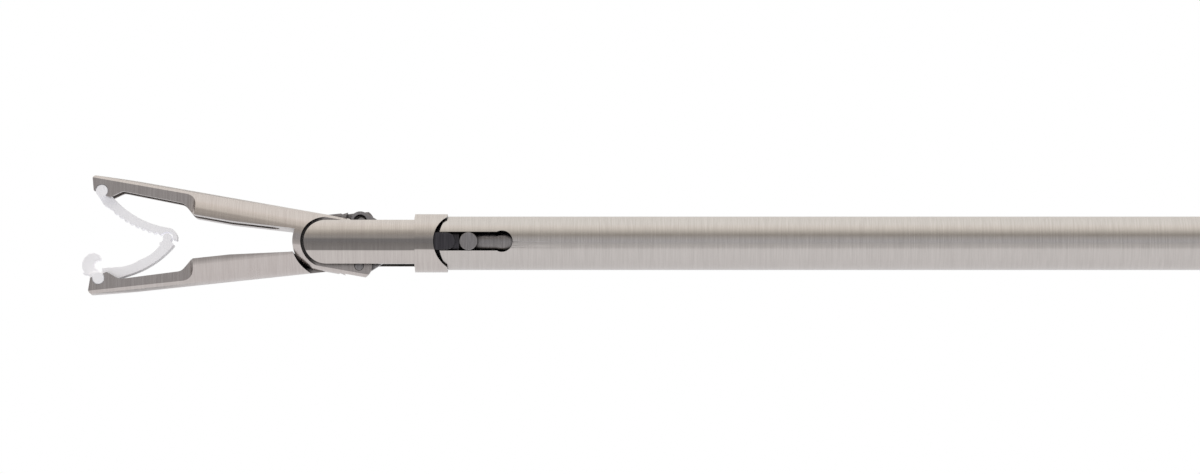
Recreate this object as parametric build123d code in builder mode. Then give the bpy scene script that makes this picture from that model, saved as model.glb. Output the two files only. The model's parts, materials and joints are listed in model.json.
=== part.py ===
from build123d import *
from math import atan2, cos, hypot, radians, sin, sqrt
import os

os.makedirs("parts", exist_ok=True)

# A long-shafted surgical clip applier, loaded with one polymer clip, jaws open.
# Millimetres. X runs along the shaft from the jaws (-) to the handle (+), Z is up.
# The origin is on the shaft's axis, where the shaft leaves the nose of the knob.

# Shaft
WORKING_LENGTH = 330.0
SHAFT_RADIUS = 2.5
TUBE_WALL = 0.3
SPIGOT_LENGTH = 8.0
RUNNING_FIT = 0.03

# Jaws, in each jaw's own view: u runs from the pivot to the tip, v away from the other jaw
JAW_REACH = 22.6
JAW_RADIUS = 2.65
JAW_BACK_AT_TIP = 2.44
JAW_BACK_TAPER = 4.8
UPPER_OPENING = 10.0
LOWER_OPENING = 6.1
MOUTH_AT_HUB = 0.64
MOUTH_AT_MIDDLE = 0.31
MOUTH_AT_ARMS = 1.27
MOUTH_AT_HORN = 1.40
MIDDLE_START = 9.0
MIDDLE_END = 12.6
ARM_START = 13.7
ARM_HALF_WIDTH = 1.5
RUNOUT_RADIUS = 1.2
CHANNEL_HALF_WIDTH = 1.0
CHANNEL_START = 4.6
CHANNEL_FLOOR = 2.05
CHANNEL_END_RADIUS = 0.9
CUTTER_OVERRUN = 2.0
NOTCH_FROM_TIP = 1.14
NOTCH_V = 1.10
NOTCH_RADIUS = 0.60
HORN_LENGTH = 0.86
HORN_DROP = 0.48
HORN_RAMP = 1.10
TIP_RAKE = 0.40
TIP_LIP = 0.12

# Jaw hubs, tails and their pivot
HUB_RADIUS = 3.1
HUB_GAP = 0.1
HUB_FACE = 3.5
LUG_OUTER = 1.30
LUG_GAP = 0.03
PIVOT_RADIUS = 0.9
TAIL_PIN_U = 3.41
TAIL_PIN_V = 1.65
TAIL_PIN_RADIUS = 0.45
TAIL_END_RADIUS = 1.2
TAIL_ROOT_RADIUS = 2.2
TAIL_POCKET_RADIUS = 1.5

# Links and crosshead
LINK_LENGTH = 4.0
LINK_INNER = 0.05
LINK_THICKNESS = 0.55
LINK_END_RADIUS = 0.95
LINK_PIN_PLAY = 0.17
CHEEK_INNER = 0.65
CHEEK_OUTER = 1.30
CHEEK_RADIUS = 1.05
CHEEK_LENGTH = 2.2
CHEEK_CLEARANCE = 1.365
CROSSHEAD_RADIUS = 1.70
CROSSHEAD_LENGTH = 11.2
CROSSHEAD_PIN_RADIUS = 0.45
ROD_RADIUS = 1.25
ROD_IN_CROSSHEAD = 3.0

# Yoke: two ears on a collar, with a shank inside the tube
YOKE_RADIUS = 2.72
EAR_RADIUS = 2.05
EAR_INNER = 1.35
EAR_POCKET_GAP = 0.31
COLLAR_START = 8.24
COLLAR_CENTRE = 9.83
COLLAR_SCALLOP = 3.3
COLLAR_END = 12.0
YOKE_SLOT_END = 8.5
SHANK_END = 15.6
SHANK_FIT = 0.01
PIVOT_BLIND_WALL = 0.45
KEY_HALF_WIDTH = 0.8
KEY_END_RADIUS = 0.76
KEY_END = 12.0
KEY_HEIGHT = 0.23

# Tube's end, with its keyhole, and the cross pin that runs in it
TONGUE_START = 10.67
TONGUE_RADIUS = 4.6
KEYHOLE_CENTRE = 16.4
KEYHOLE_RADIUS = 1.0
SLOT_PIN_X = 13.28
SLOT_PIN_RADIUS = 0.85
SLOT_PIN_RECESS = 0.12

# Drive rod's guides, as shares of the way from the origin to the jaws' pivot
GUIDE_PLACES = (0.25, 0.50, 0.75)
GUIDE_LENGTH = 4.0

# Clip
CLIP_HALF_WIDTH = 0.90
BOSS_HALF_WIDTH = 1.45
BOSS_GAP = 0.03
HOOK_HALF_WIDTH = 0.42
HOOK_GAP = 0.10
HOOK_ROOM = 3.3
HINGE_FROM_TIP = 7.75
HINGE_RISE = 0.45
KNUCKLE_RADIUS = 0.42
KNUCKLE_GAP = 0.12
KNUCKLE_SIDE = 200
BOW_THICKNESS = 0.40
BOW_END = -15
BOW_TOP = 75
CUP_TOP = 135

# The arms' outlines: offsets from the hinge, or from each arm's own boss
UPPER_ARM_BACK = [(3.343, -2.46), (0.743, -0.26)]
UPPER_ARM_END = [(0.193, 0.44), (-0.457, -0.31), (0.143, -1.26), (1.043, -1.81)]
UPPER_ARM_INNER = (3.543, -3.36)
LOWER_ARM_ROOT = (0.65, -0.67)
LOWER_ARM_BACK = (-1.11, -2.29)
LOWER_ARM_INNER = [(-1.10, -1.17), (-2.25, -1.92)]
LOWER_ARM_END = [
    (3.022, 1.344),
    (2.222, 1.124),
    (0.322, 0.994),
    (-0.978, 0.424),
    (-0.578, -0.376),
    (0.722, -0.376),
    (3.022, 0.414),
]
HOOK_OUTLINE = [
    (0.022, 0.374, 0),
    (-1.528, 0.374, 0.3),
    (-1.628, 1.524, 0.5),
    (-0.628, 2.524, 0.3),
    (0.172, 1.924, 0.1),
    (-0.458, 1.494, 0.2),
    (-0.228, 0.874, 0.1),
]

# Rotation knob and hub
KNOB_RADIUS = 12.0
KNOB_NOSE_RADIUS = 7.0
KNOB_REAR_RADIUS = 10.0
KNOB_SHOULDER = 6.0
KNOB_LENGTH = 21.0
KNOB_NOSE_WALL = 1.2
FLUTES = 8
FLUTE_RADIUS = 4.2
FLUTE_DEPTH = 1.9
FLUTE_RUNOUT = 3.0
HUB_OUTER_RADIUS = 5.0
JOURNAL_RADIUS = 4.5
HUB_SLEEVE_END = KNOB_LENGTH + 13.0
RING_X = KNOB_LENGTH + 10.0
RING_WIDTH = 0.8
RING_RADIUS = 6.4
RING_GROOVE_RADIUS = 3.9
RING_MOUTH = 5.0
SEAL_RADIUS = 2.6
SEAL_LENGTH = 2.4
FLUSH_X = KNOB_LENGTH + 5.5
FLUSH_GROOVE_RADIUS = 4.1
FLUSH_HOLE_RADIUS = 0.9
GRUB_X = 11.0
GRUB_RADIUS = 1.5
GRUB_HEX_RADIUS = 0.85
GRUB_LENGTH = 5.0

# Front bearing
BEARING_RADIUS = 8.0
BEARING_FLANGE_RADIUS = 9.4
BEARING_FLANGE = 1.2
BEARING_LENGTH = 8.4

# Housing
HOUSING_FRONT = KNOB_LENGTH + 2.0
HOUSING_HALF_WIDTH = 12.4
HOUSING_WALL = 2.6
HOUSING_ROUND = 3.5
HOUSING_OUTLINE = [
    (HOUSING_FRONT, 12.5, 4.5),
    (HOUSING_FRONT + 39.0, 14.5, 18.0),
    (HOUSING_FRONT + 61.0, 4.0, 11.0),
    (HOUSING_FRONT + 57.0, -20.0, 40.0),
    (HOUSING_FRONT + 71.0, -92.0, 8.0),
    (HOUSING_FRONT + 49.0, -97.0, 8.0),
    (HOUSING_FRONT + 36.0, -36.0, 50.0),
    (HOUSING_FRONT + 34.0, -13.5, 6.0),
    (HOUSING_FRONT, -12.5, 4.5),
]
SCREW_PLACES = [
    (HOUSING_FRONT + 14.0, 7.2),
    (HOUSING_FRONT + 44.0, 6.5),
    (HOUSING_FRONT + 49.0, -42.0),
    (HOUSING_FRONT + 57.5, -85.0),
]
SCREW_RADIUS = 1.15
SCREW_HEAD_RADIUS = 2.2
SCREW_HEAD_DEPTH = 1.8
SCREW_RECESS = 0.4
SCREW_BITE = 6.0
SCREW_BOSS_RADIUS = 2.7
BACKSTRAP_THICKNESS = 1.3
BACKSTRAP_TOP = -24.0
BACKSTRAP_BOTTOM = -84.0
BACKSTRAP_REACH = 30.0

# Trigger
TRIGGER_X = HOUSING_FRONT + 25.0
ROD_ARM = 4.0
TRIGGER_HEAD_RADIUS = 6.0
TRIGGER_HALF_WIDTH = 4.0
TRIGGER_ROUND = 1.6
TRIGGER_OUTLINE = [
    (TRIGGER_X + 5.5, 2.0, 3.0),
    (TRIGGER_X + 1.5, -16.0, 40.0),
    (TRIGGER_X - 4.5, -48.0, 80.0),
    (TRIGGER_X - 6.5, -84.0, 3.5),
    (TRIGGER_X - 15.0, -85.5, 3.5),
    (TRIGGER_X - 16.5, -48.0, 70.0),
    (TRIGGER_X - 10.0, -16.0, 30.0),
    (TRIGGER_X - 5.5, 2.0, 3.0),
]
TRIGGER_SLOT_GAP = 0.7
TRIGGER_SLOT_FRONT = TRIGGER_X - 15.5
TRIGGER_SLOT_REAR = TRIGGER_X + 7.0
TRIGGER_PIN_RADIUS = 1.25
TRIGGER_PIN_SEAT = 2.6
PIVOT_BOSS_RADIUS = 3.2
BUSHING_THICKNESS = 0.35
BUSHING_RADIUS = 3.0
BALL_RADIUS = 1.9
BALL_NECK_RADIUS = 1.7
BALL_NECK_LENGTH = 4.0
BALL_GAP = 0.1
PAD_THICKNESS = 1.8
PAD_TOP = -26.0
PAD_BOTTOM = -79.0
PAD_REACH = 14.0
STOP_PIN_Z = -7.5
STOP_PIN_RADIUS = 1.5
STOP_BOSS_RADIUS = 2.5
STOP_PIN_GAP = 0.05
SPRING_THICKNESS = 0.5
SPRING_HALF_WIDTH = 2.5
SPRING_PATH = [
    (TRIGGER_X + 16.0, 5.0),
    (TRIGGER_X + 13.5, 3.0),
    (TRIGGER_X + 6.6, -8.0),
    (TRIGGER_X + 3.3, -11.4),
]
SPRING_BENDS = [2.0, 6.0]

# Flush port, a female cone of the usual syringe size
PORT_BORE_RADIUS = 2.1
PORT_RADIUS = 3.0
PORT_TOP = 24.0
PORT_COLLAR_RADIUS = 4.4
PORT_COLLAR_HEIGHT = 2.0
PORT_LUG_RADIUS = 3.9
PORT_LUG_HEIGHT = 1.6
PORT_BORE_DEPTH = 12.0

# Places worked out from the sizes
PIVOT_X = JAW_REACH - WORKING_LENGTH
HEAD = Plane(origin=(PIVOT_X, 0, 0), x_dir=(1, 0, 0), z_dir=(0, -1, 0))
JAWS = {"upper": (1, UPPER_OPENING), "lower": (-1, LOWER_OPENING)}
NOTCH_U = JAW_REACH - NOTCH_FROM_TIP
TUBE_BORE = SHAFT_RADIUS - TUBE_WALL


def station(x):
    """Plane across the shaft at x, facing the handle."""
    return Plane.YZ.offset(x)


def head_station(x):
    """Plane across the shaft at a distance x behind the jaws' pivot."""
    return station(PIVOT_X + x)


def jaw_plane(side, opening):
    """Side view of an open jaw: x to its tip, y away from the other jaw, z off its lug."""
    turn = radians(opening)
    return Plane(
        origin=HEAD.origin,
        x_dir=(-cos(turn), 0, side * sin(turn)),
        z_dir=(0, side, 0),
    )


def on_jaw(side, opening, u, v):
    """Place in the head's side view of the point (u, v) of an open jaw."""
    turn = radians(opening)
    return (v * sin(turn) - u * cos(turn), side * (u * sin(turn) + v * cos(turn)))


def finish(piece, name):
    """Label a finished piece and write it."""
    piece.part.label = name
    export_step(piece.part, f"parts/{name}.step")


def outline(points):
    """Closed line through (x, y, corner radius) points."""
    places = [(x, y) for x, y, _ in points]
    return FilletPolyline(*places, radius=[r for _, _, r in points], close=True)


TAIL_PINS = {
    name: on_jaw(side, opening, -TAIL_PIN_U, -TAIL_PIN_V)
    for name, (side, opening) in JAWS.items()
}
CROSSHEAD_X = sum(x + sqrt(LINK_LENGTH**2 - z**2) for x, z in TAIL_PINS.values()) / 2
ROD_TRAVEL = TAIL_PIN_U + sqrt(LINK_LENGTH**2 - TAIL_PIN_V**2) - CROSSHEAD_X

# Side view of a jaw: its back, its tip and the stepped edge of its mouth
JAW_OUTLINE = [
    (0, JAW_RADIUS, 0),
    (JAW_REACH - JAW_BACK_TAPER, JAW_RADIUS, 0),
    (JAW_REACH, JAW_BACK_AT_TIP, 0.3),
    (JAW_REACH - TIP_RAKE, NOTCH_V - TIP_LIP, 0.12),
    (NOTCH_U - HORN_LENGTH, NOTCH_V - HORN_DROP, 0.12),
    (NOTCH_U - HORN_LENGTH - HORN_RAMP, MOUTH_AT_HORN, 0.6),
    (ARM_START, MOUTH_AT_ARMS, 0.9),
    (MIDDLE_END, MOUTH_AT_MIDDLE, 0.7),
    (MIDDLE_START, MOUTH_AT_MIDDLE, 0),
    (HUB_FACE, MOUTH_AT_HUB, 0),
    (0, MOUTH_AT_HUB, 0),
]

for name, (side, opening) in JAWS.items():
    view = jaw_plane(side, opening)
    plan = Plane(origin=view.origin, x_dir=view.x_dir, z_dir=view.y_dir)
    section = Plane(origin=view.origin, x_dir=view.z_dir, z_dir=view.x_dir)
    with BuildPart() as jaw:
        with BuildSketch(view):
            with BuildLine():
                outline(JAW_OUTLINE)
            make_face()
            with Locations((NOTCH_U, NOTCH_V)):
                Circle(NOTCH_RADIUS, mode=Mode.SUBTRACT)
        extrude(amount=JAW_RADIUS, both=True)
        with BuildSketch(view):
            Circle(HUB_RADIUS)
        extrude(amount=-JAW_RADIUS)
        with BuildSketch(view):
            Circle(TAIL_ROOT_RADIUS)
            with Locations((-TAIL_PIN_U, -TAIL_PIN_V)):
                Circle(TAIL_END_RADIUS)
            make_hull()
        extrude(amount=-LUG_OUTER)
        # The whole jaw is turned from round bar
        with BuildSketch(section.offset(-2 * HUB_RADIUS)):
            Circle(JAW_RADIUS)
        extrude(amount=3 * HUB_RADIUS + JAW_REACH, mode=Mode.INTERSECT)
        # Pocket for the yoke's ear, open towards the shaft
        with BuildSketch(view.offset(-LUG_OUTER)):
            Circle(EAR_RADIUS + EAR_POCKET_GAP)
            with Locations((-HUB_RADIUS, 0)):
                Rectangle(2 * HUB_RADIUS, 3 * JAW_RADIUS)
        extrude(amount=-JAW_RADIUS, mode=Mode.SUBTRACT)
        # Room for the other jaw's hub
        with BuildSketch(view.offset(-LUG_GAP)):
            Circle(HUB_RADIUS + HUB_GAP)
        extrude(amount=2 * JAW_RADIUS, mode=Mode.SUBTRACT)
        # Recess for the link's end, and the two pin holes
        with BuildSketch(view.offset(-CHEEK_INNER)):
            with Locations((-TAIL_PIN_U, -TAIL_PIN_V)):
                Circle(TAIL_POCKET_RADIUS)
        extrude(amount=CHEEK_INNER, mode=Mode.SUBTRACT)
        with BuildSketch(view):
            Circle(PIVOT_RADIUS + RUNNING_FIT)
            with Locations((-TAIL_PIN_U, -TAIL_PIN_V)):
                Circle(TAIL_PIN_RADIUS)
        extrude(amount=-JAW_RADIUS, mode=Mode.SUBTRACT)
        # Channel between the arms, and the flats that a ball cutter left outside them
        with BuildSketch(plan):
            with Locations(((CHANNEL_START + JAW_REACH) / 2 + CUTTER_OVERRUN, 0)):
                RectangleRounded(
                    JAW_REACH - CHANNEL_START + 2 * CUTTER_OVERRUN,
                    2 * CHANNEL_HALF_WIDTH,
                    CHANNEL_END_RADIUS,
                )
        extrude(amount=CHANNEL_FLOOR, mode=Mode.SUBTRACT)
        with BuildSketch(plan.offset(-JAW_RADIUS)):
            for flank in (1, -1):
                flat = flank * (ARM_HALF_WIDTH + JAW_RADIUS)
                runout = ARM_START - RUNOUT_RADIUS
                with Locations(((runout + JAW_REACH) / 2 + CUTTER_OVERRUN, flat)):
                    RectangleRounded(
                        JAW_REACH - runout + 2 * CUTTER_OVERRUN,
                        2 * JAW_RADIUS,
                        RUNOUT_RADIUS,
                    )
        extrude(amount=3 * JAW_RADIUS, mode=Mode.SUBTRACT)
    finish(jaw, f"{name}_jaw")

    with BuildPart() as tail_pin:
        with BuildSketch(view.offset(-LUG_OUTER)):
            with Locations((-TAIL_PIN_U, -TAIL_PIN_V)):
                Circle(TAIL_PIN_RADIUS)
        extrude(amount=LUG_OUTER - LINK_INNER)
    finish(tail_pin, f"{name}_tail_pin")

    # Link from the jaw's tail to the crosshead, beside the jaw's own tail
    tail_x, tail_z = TAIL_PINS[name]
    lean = atan2(tail_z, tail_x - CROSSHEAD_X)
    link_end = (CROSSHEAD_X + LINK_LENGTH * cos(lean), LINK_LENGTH * sin(lean))
    with BuildPart() as link:
        with BuildSketch(HEAD.offset(side * LINK_INNER)):
            with Locations((CROSSHEAD_X, 0), link_end):
                Circle(LINK_END_RADIUS)
            make_hull()
            with Locations((CROSSHEAD_X, 0)):
                Circle(CROSSHEAD_PIN_RADIUS + RUNNING_FIT, mode=Mode.SUBTRACT)
            with Locations(link_end):
                Circle(TAIL_PIN_RADIUS + LINK_PIN_PLAY, mode=Mode.SUBTRACT)
        extrude(amount=side * LINK_THICKNESS)
    finish(link, "bottom_link" if side > 0 else "top_link")

with BuildPart() as crosshead:
    with BuildSketch(HEAD):
        with Locations((CROSSHEAD_X, 0)):
            Circle(CHEEK_RADIUS)
        with Locations((CROSSHEAD_X + CHEEK_LENGTH / 2, 0)):
            Rectangle(CHEEK_LENGTH, 2 * CHEEK_RADIUS)
    extrude(amount=CHEEK_OUTER, both=True)
    with BuildSketch(head_station(CROSSHEAD_X + CHEEK_LENGTH)):
        Circle(CROSSHEAD_RADIUS)
    extrude(amount=CROSSHEAD_LENGTH - CHEEK_LENGTH)
    with BuildSketch(head_station(CROSSHEAD_X - 2 * CHEEK_RADIUS)):
        Circle(CROSSHEAD_RADIUS)
    extrude(amount=CROSSHEAD_LENGTH + 2 * CHEEK_RADIUS, mode=Mode.INTERSECT)
    with BuildSketch(HEAD):
        with Locations((CROSSHEAD_X, 0)):
            Rectangle(2 * CHEEK_CLEARANCE, 3 * CHEEK_RADIUS)
    extrude(amount=CHEEK_INNER, both=True, mode=Mode.SUBTRACT)
    with BuildSketch(HEAD):
        with Locations((CROSSHEAD_X, 0)):
            Circle(CROSSHEAD_PIN_RADIUS)
        with Locations((SLOT_PIN_X, 0)):
            Circle(SLOT_PIN_RADIUS)
    extrude(amount=CROSSHEAD_RADIUS, both=True, mode=Mode.SUBTRACT)
    with BuildSketch(head_station(CROSSHEAD_X + CROSSHEAD_LENGTH)):
        Circle(ROD_RADIUS)
    extrude(amount=-ROD_IN_CROSSHEAD, mode=Mode.SUBTRACT)
finish(crosshead, "crosshead")

with BuildPart() as crosshead_pin:
    with BuildSketch(HEAD):
        with Locations((CROSSHEAD_X, 0)):
            Circle(CROSSHEAD_PIN_RADIUS)
    extrude(amount=CHEEK_OUTER, both=True)
finish(crosshead_pin, "crosshead_pin")

# The cross pin keys the rod to the tube: it stands in the tube's slot on one side only
with BuildPart() as slot_pin:
    with BuildSketch(HEAD.offset(-(CROSSHEAD_RADIUS + TUBE_WALL / 2))):
        with Locations((SLOT_PIN_X, 0)):
            Circle(SLOT_PIN_RADIUS)
    extrude(amount=CROSSHEAD_RADIUS + TUBE_WALL / 2 + SHAFT_RADIUS - SLOT_PIN_RECESS)
finish(slot_pin, "slot_pin")

with BuildPart() as jaw_yoke:
    with BuildSketch(HEAD):
        Circle(EAR_RADIUS)
        with Locations((COLLAR_START / 2, 0)):
            Rectangle(COLLAR_START, 2 * EAR_RADIUS)
        with Locations(((COLLAR_START + COLLAR_END) / 2, 0)):
            Rectangle(COLLAR_END - COLLAR_START, 2 * YOKE_RADIUS)
        with Locations((COLLAR_CENTRE + COLLAR_SCALLOP, 0)):
            Circle(COLLAR_SCALLOP, mode=Mode.SUBTRACT)
    extrude(amount=YOKE_RADIUS, both=True)
    with BuildSketch(head_station(-2 * EAR_RADIUS)):
        Circle(YOKE_RADIUS)
    extrude(amount=COLLAR_END + 3 * EAR_RADIUS, mode=Mode.INTERSECT)
    with BuildSketch(head_station(COLLAR_START)):
        Circle(TUBE_BORE - SHANK_FIT)
    extrude(amount=SHANK_END - COLLAR_START)
    # Key that stands in the tube's slot
    with BuildSketch(HEAD):
        with Locations(((COLLAR_CENTRE + KEY_END) / 2 - KEY_HALF_WIDTH, 0)):
            RectangleRounded(
                KEY_END - COLLAR_CENTRE + 2 * KEY_HALF_WIDTH,
                2 * KEY_HALF_WIDTH,
                KEY_END_RADIUS,
            )
    extrude(amount=TUBE_BORE + KEY_HEIGHT)
    # Slot for tails and links, bore for the crosshead, slot for the cross pin
    with BuildSketch(HEAD):
        with Locations((YOKE_SLOT_END / 2 - EAR_RADIUS, 0)):
            Rectangle(YOKE_SLOT_END + 2 * EAR_RADIUS, 3 * YOKE_RADIUS)
    extrude(amount=EAR_INNER, both=True, mode=Mode.SUBTRACT)
    with BuildSketch(head_station(YOKE_SLOT_END)):
        Circle(CROSSHEAD_RADIUS + RUNNING_FIT)
    extrude(amount=SHANK_END - YOKE_SLOT_END, mode=Mode.SUBTRACT)
    with BuildSketch(HEAD):
        slot_start = SLOT_PIN_X - SLOT_PIN_RADIUS - RUNNING_FIT
        with Locations(((slot_start + SHANK_END) / 2 + SLOT_PIN_RADIUS, 0)):
            Rectangle(
                SHANK_END - slot_start + 2 * SLOT_PIN_RADIUS,
                2 * (SLOT_PIN_RADIUS + RUNNING_FIT),
            )
    extrude(amount=TUBE_BORE, both=True, mode=Mode.SUBTRACT)
    # The pivot pin goes in through the far ear and stops blind in the near one
    with BuildSketch(HEAD.offset(YOKE_RADIUS - PIVOT_BLIND_WALL)):
        Circle(PIVOT_RADIUS)
    extrude(amount=-2 * YOKE_RADIUS, mode=Mode.SUBTRACT)
finish(jaw_yoke, "jaw_yoke")

with BuildPart() as jaw_pivot_pin:
    with BuildSketch(HEAD.offset(YOKE_RADIUS - PIVOT_BLIND_WALL)):
        Circle(PIVOT_RADIUS)
    extrude(amount=-2 * YOKE_RADIUS)
    with BuildSketch(head_station(-EAR_RADIUS)):
        Circle(YOKE_RADIUS)
    extrude(amount=2 * EAR_RADIUS, mode=Mode.INTERSECT)
finish(jaw_pivot_pin, "jaw_pivot_pin")

with BuildPart() as outer_tube:
    tube_length = -PIVOT_X - TONGUE_START
    with BuildSketch(head_station(TONGUE_START)):
        Circle(SHAFT_RADIUS)
        Circle(TUBE_BORE, mode=Mode.SUBTRACT)
    extrude(amount=tube_length)
    # Rounded tongue towards the collar, and the keyhole on the near side
    with BuildSketch(HEAD):
        with Locations((TONGUE_START, 0)):
            Rectangle(2 * TONGUE_RADIUS, 3 * SHAFT_RADIUS)
        with Locations((TONGUE_START + TONGUE_RADIUS, 0)):
            Circle(TONGUE_RADIUS, mode=Mode.SUBTRACT)
            with Locations((TONGUE_RADIUS / 2, 0)):
                Rectangle(TONGUE_RADIUS, 3 * SHAFT_RADIUS, mode=Mode.SUBTRACT)
    extrude(amount=2 * SHAFT_RADIUS, both=True, mode=Mode.SUBTRACT)
    with BuildSketch(HEAD):
        with Locations((TONGUE_START, 0)):
            Rectangle(
                2 * (KEYHOLE_CENTRE - TONGUE_START),
                2 * (SLOT_PIN_RADIUS + RUNNING_FIT),
            )
        with Locations((KEYHOLE_CENTRE, 0)):
            Circle(KEYHOLE_RADIUS)
    extrude(amount=2 * SHAFT_RADIUS, mode=Mode.SUBTRACT)
finish(outer_tube, "outer_tube")

# Drive rod, its guides along the tube and its ball in the trigger
ROD_START = PIVOT_X + CROSSHEAD_X + CROSSHEAD_LENGTH - ROD_IN_CROSSHEAD
BALL_X = TRIGGER_X
with BuildPart() as drive_rod:
    with BuildSketch(station(ROD_START)):
        Circle(ROD_RADIUS)
    extrude(amount=BALL_X - BALL_NECK_LENGTH - ROD_START)
finish(drive_rod, "drive_rod")

with BuildPart() as rod_guides:
    for place in GUIDE_PLACES:
        with BuildSketch(station(place * PIVOT_X)):
            Circle(TUBE_BORE - RUNNING_FIT)
            Circle(ROD_RADIUS, mode=Mode.SUBTRACT)
        extrude(amount=GUIDE_LENGTH)
finish(rod_guides, "rod_guides")

with BuildPart() as rod_ball:
    with BuildSketch(Plane.XZ):
        with Locations((BALL_X, 0)):
            Circle(BALL_RADIUS)
        with Locations((BALL_X, -BALL_RADIUS)):
            Rectangle(4 * BALL_RADIUS, 2 * BALL_RADIUS, mode=Mode.SUBTRACT)
        with Locations((BALL_X - BALL_NECK_LENGTH / 2, BALL_NECK_RADIUS / 4)):
            Rectangle(BALL_NECK_LENGTH, BALL_NECK_RADIUS / 2)
    revolve(axis=Axis.X)
    with BuildSketch(station(BALL_X - BALL_NECK_LENGTH)):
        Circle(BALL_NECK_RADIUS)
    extrude(amount=BALL_NECK_LENGTH / 2)
finish(rod_ball, "rod_ball")

# Hub sleeve with its journal in the front bearing. The tube is soldered on its spigot,
# up against the knob's nose
with BuildPart() as shaft_hub:
    with BuildSketch(station(-SPIGOT_LENGTH)):
        Circle(TUBE_BORE)
    extrude(amount=SPIGOT_LENGTH + KNOB_NOSE_WALL)
    with BuildSketch(station(KNOB_NOSE_WALL)):
        Circle(HUB_OUTER_RADIUS)
    extrude(amount=KNOB_LENGTH - KNOB_NOSE_WALL)
    with BuildSketch(station(KNOB_LENGTH)):
        Circle(JOURNAL_RADIUS)
    extrude(amount=HUB_SLEEVE_END - KNOB_LENGTH)
    for groove_x, groove_width, groove_radius in (
        (RING_X, RING_WIDTH, RING_GROOVE_RADIUS),
        (FLUSH_X - FLUSH_HOLE_RADIUS, 2 * FLUSH_HOLE_RADIUS, FLUSH_GROOVE_RADIUS),
    ):
        with BuildSketch(station(groove_x)):
            Circle(HUB_OUTER_RADIUS)
            Circle(groove_radius, mode=Mode.SUBTRACT)
        extrude(amount=groove_width, mode=Mode.SUBTRACT)
    with BuildSketch(station(-SPIGOT_LENGTH)):
        Circle(TUBE_BORE - TUBE_WALL)
    extrude(amount=SPIGOT_LENGTH + HUB_SLEEVE_END, mode=Mode.SUBTRACT)
    with BuildSketch(station(HUB_SLEEVE_END)):
        Circle(SEAL_RADIUS)
    extrude(amount=-SEAL_LENGTH, mode=Mode.SUBTRACT)
    with BuildSketch(Plane.XY):
        with Locations((FLUSH_X, 0)):
            Circle(FLUSH_HOLE_RADIUS)
    extrude(amount=HUB_OUTER_RADIUS, mode=Mode.SUBTRACT)
finish(shaft_hub, "shaft_hub")

with BuildPart() as rod_seal:
    with BuildSketch(station(HUB_SLEEVE_END)):
        Circle(SEAL_RADIUS)
        Circle(ROD_RADIUS + RUNNING_FIT, mode=Mode.SUBTRACT)
    extrude(amount=-SEAL_LENGTH)
finish(rod_seal, "rod_seal")

# Retaining clip, a ring with a mouth that lets it spring over the groove
with BuildPart() as hub_retaining_ring:
    with BuildSketch(station(RING_X)):
        Circle(RING_RADIUS)
        Circle(RING_GROOVE_RADIUS, mode=Mode.SUBTRACT)
        with Locations((0, -RING_RADIUS)):
            Rectangle(RING_MOUTH, 2 * RING_RADIUS, mode=Mode.SUBTRACT)
    extrude(amount=RING_WIDTH)
finish(hub_retaining_ring, "hub_retaining_ring")

with BuildPart() as rotation_knob:
    with BuildSketch(Plane.XZ):
        with BuildLine():
            FilletPolyline(
                (0, 0),
                (0, KNOB_NOSE_RADIUS),
                (KNOB_SHOULDER, KNOB_RADIUS),
                (KNOB_LENGTH - KNOB_SHOULDER / 2, KNOB_RADIUS),
                (KNOB_LENGTH, KNOB_REAR_RADIUS),
                (KNOB_LENGTH, 0),
                radius=[0, 1.6, 3.0, 1.5, 1.0, 0],
                close=True,
            )
        make_face()
    revolve(axis=Axis.X)
    with BuildSketch(station(KNOB_NOSE_WALL)):
        Circle(HUB_OUTER_RADIUS)
    extrude(amount=KNOB_LENGTH, mode=Mode.SUBTRACT)
    with BuildSketch(station(0)):
        Circle(TUBE_BORE + RUNNING_FIT)
    extrude(amount=KNOB_LENGTH, mode=Mode.SUBTRACT)
    # Finger flutes that run out towards the rear
    with BuildSketch(station(0)):
        with PolarLocations(KNOB_RADIUS + FLUTE_RADIUS - FLUTE_DEPTH, FLUTES):
            Circle(FLUTE_RADIUS)
    extrude(amount=KNOB_LENGTH - FLUTE_RUNOUT, mode=Mode.SUBTRACT)
    with BuildSketch(Plane.XY.offset(-KNOB_RADIUS)):
        with Locations((GRUB_X, 0)):
            Circle(GRUB_RADIUS)
    extrude(amount=KNOB_RADIUS - HUB_OUTER_RADIUS / 2, mode=Mode.SUBTRACT)
finish(rotation_knob, "rotation_knob")

with BuildPart() as knob_grub_screw:
    with BuildSketch(Plane.XY.offset(-HUB_OUTER_RADIUS)):
        with Locations((GRUB_X, 0)):
            Circle(GRUB_RADIUS)
    extrude(amount=-GRUB_LENGTH)
    with BuildSketch(Plane.XY.offset(-HUB_OUTER_RADIUS - GRUB_LENGTH)):
        with Locations((GRUB_X, 0)):
            RegularPolygon(GRUB_HEX_RADIUS, 6)
    extrude(amount=GRUB_LENGTH / 2, mode=Mode.SUBTRACT)
finish(knob_grub_screw, "knob_grub_screw")

BEARING_END = HOUSING_FRONT - BEARING_FLANGE + BEARING_LENGTH
with BuildPart() as front_bearing:
    with BuildSketch(station(HOUSING_FRONT - BEARING_FLANGE)):
        Circle(BEARING_RADIUS)
    extrude(amount=BEARING_LENGTH)
    with BuildSketch(station(HOUSING_FRONT - BEARING_FLANGE)):
        Circle(BEARING_FLANGE_RADIUS)
    extrude(amount=BEARING_FLANGE)
    with BuildSketch(station(0)):
        Circle(JOURNAL_RADIUS + RUNNING_FIT)
    extrude(amount=HOUSING_FRONT + BEARING_LENGTH, mode=Mode.SUBTRACT)
    with BuildSketch(Plane.XY):
        with Locations((FLUSH_X, 0)):
            Circle(FLUSH_HOLE_RADIUS)
    extrude(amount=BEARING_RADIUS, mode=Mode.SUBTRACT)
finish(front_bearing, "front_bearing")

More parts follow.
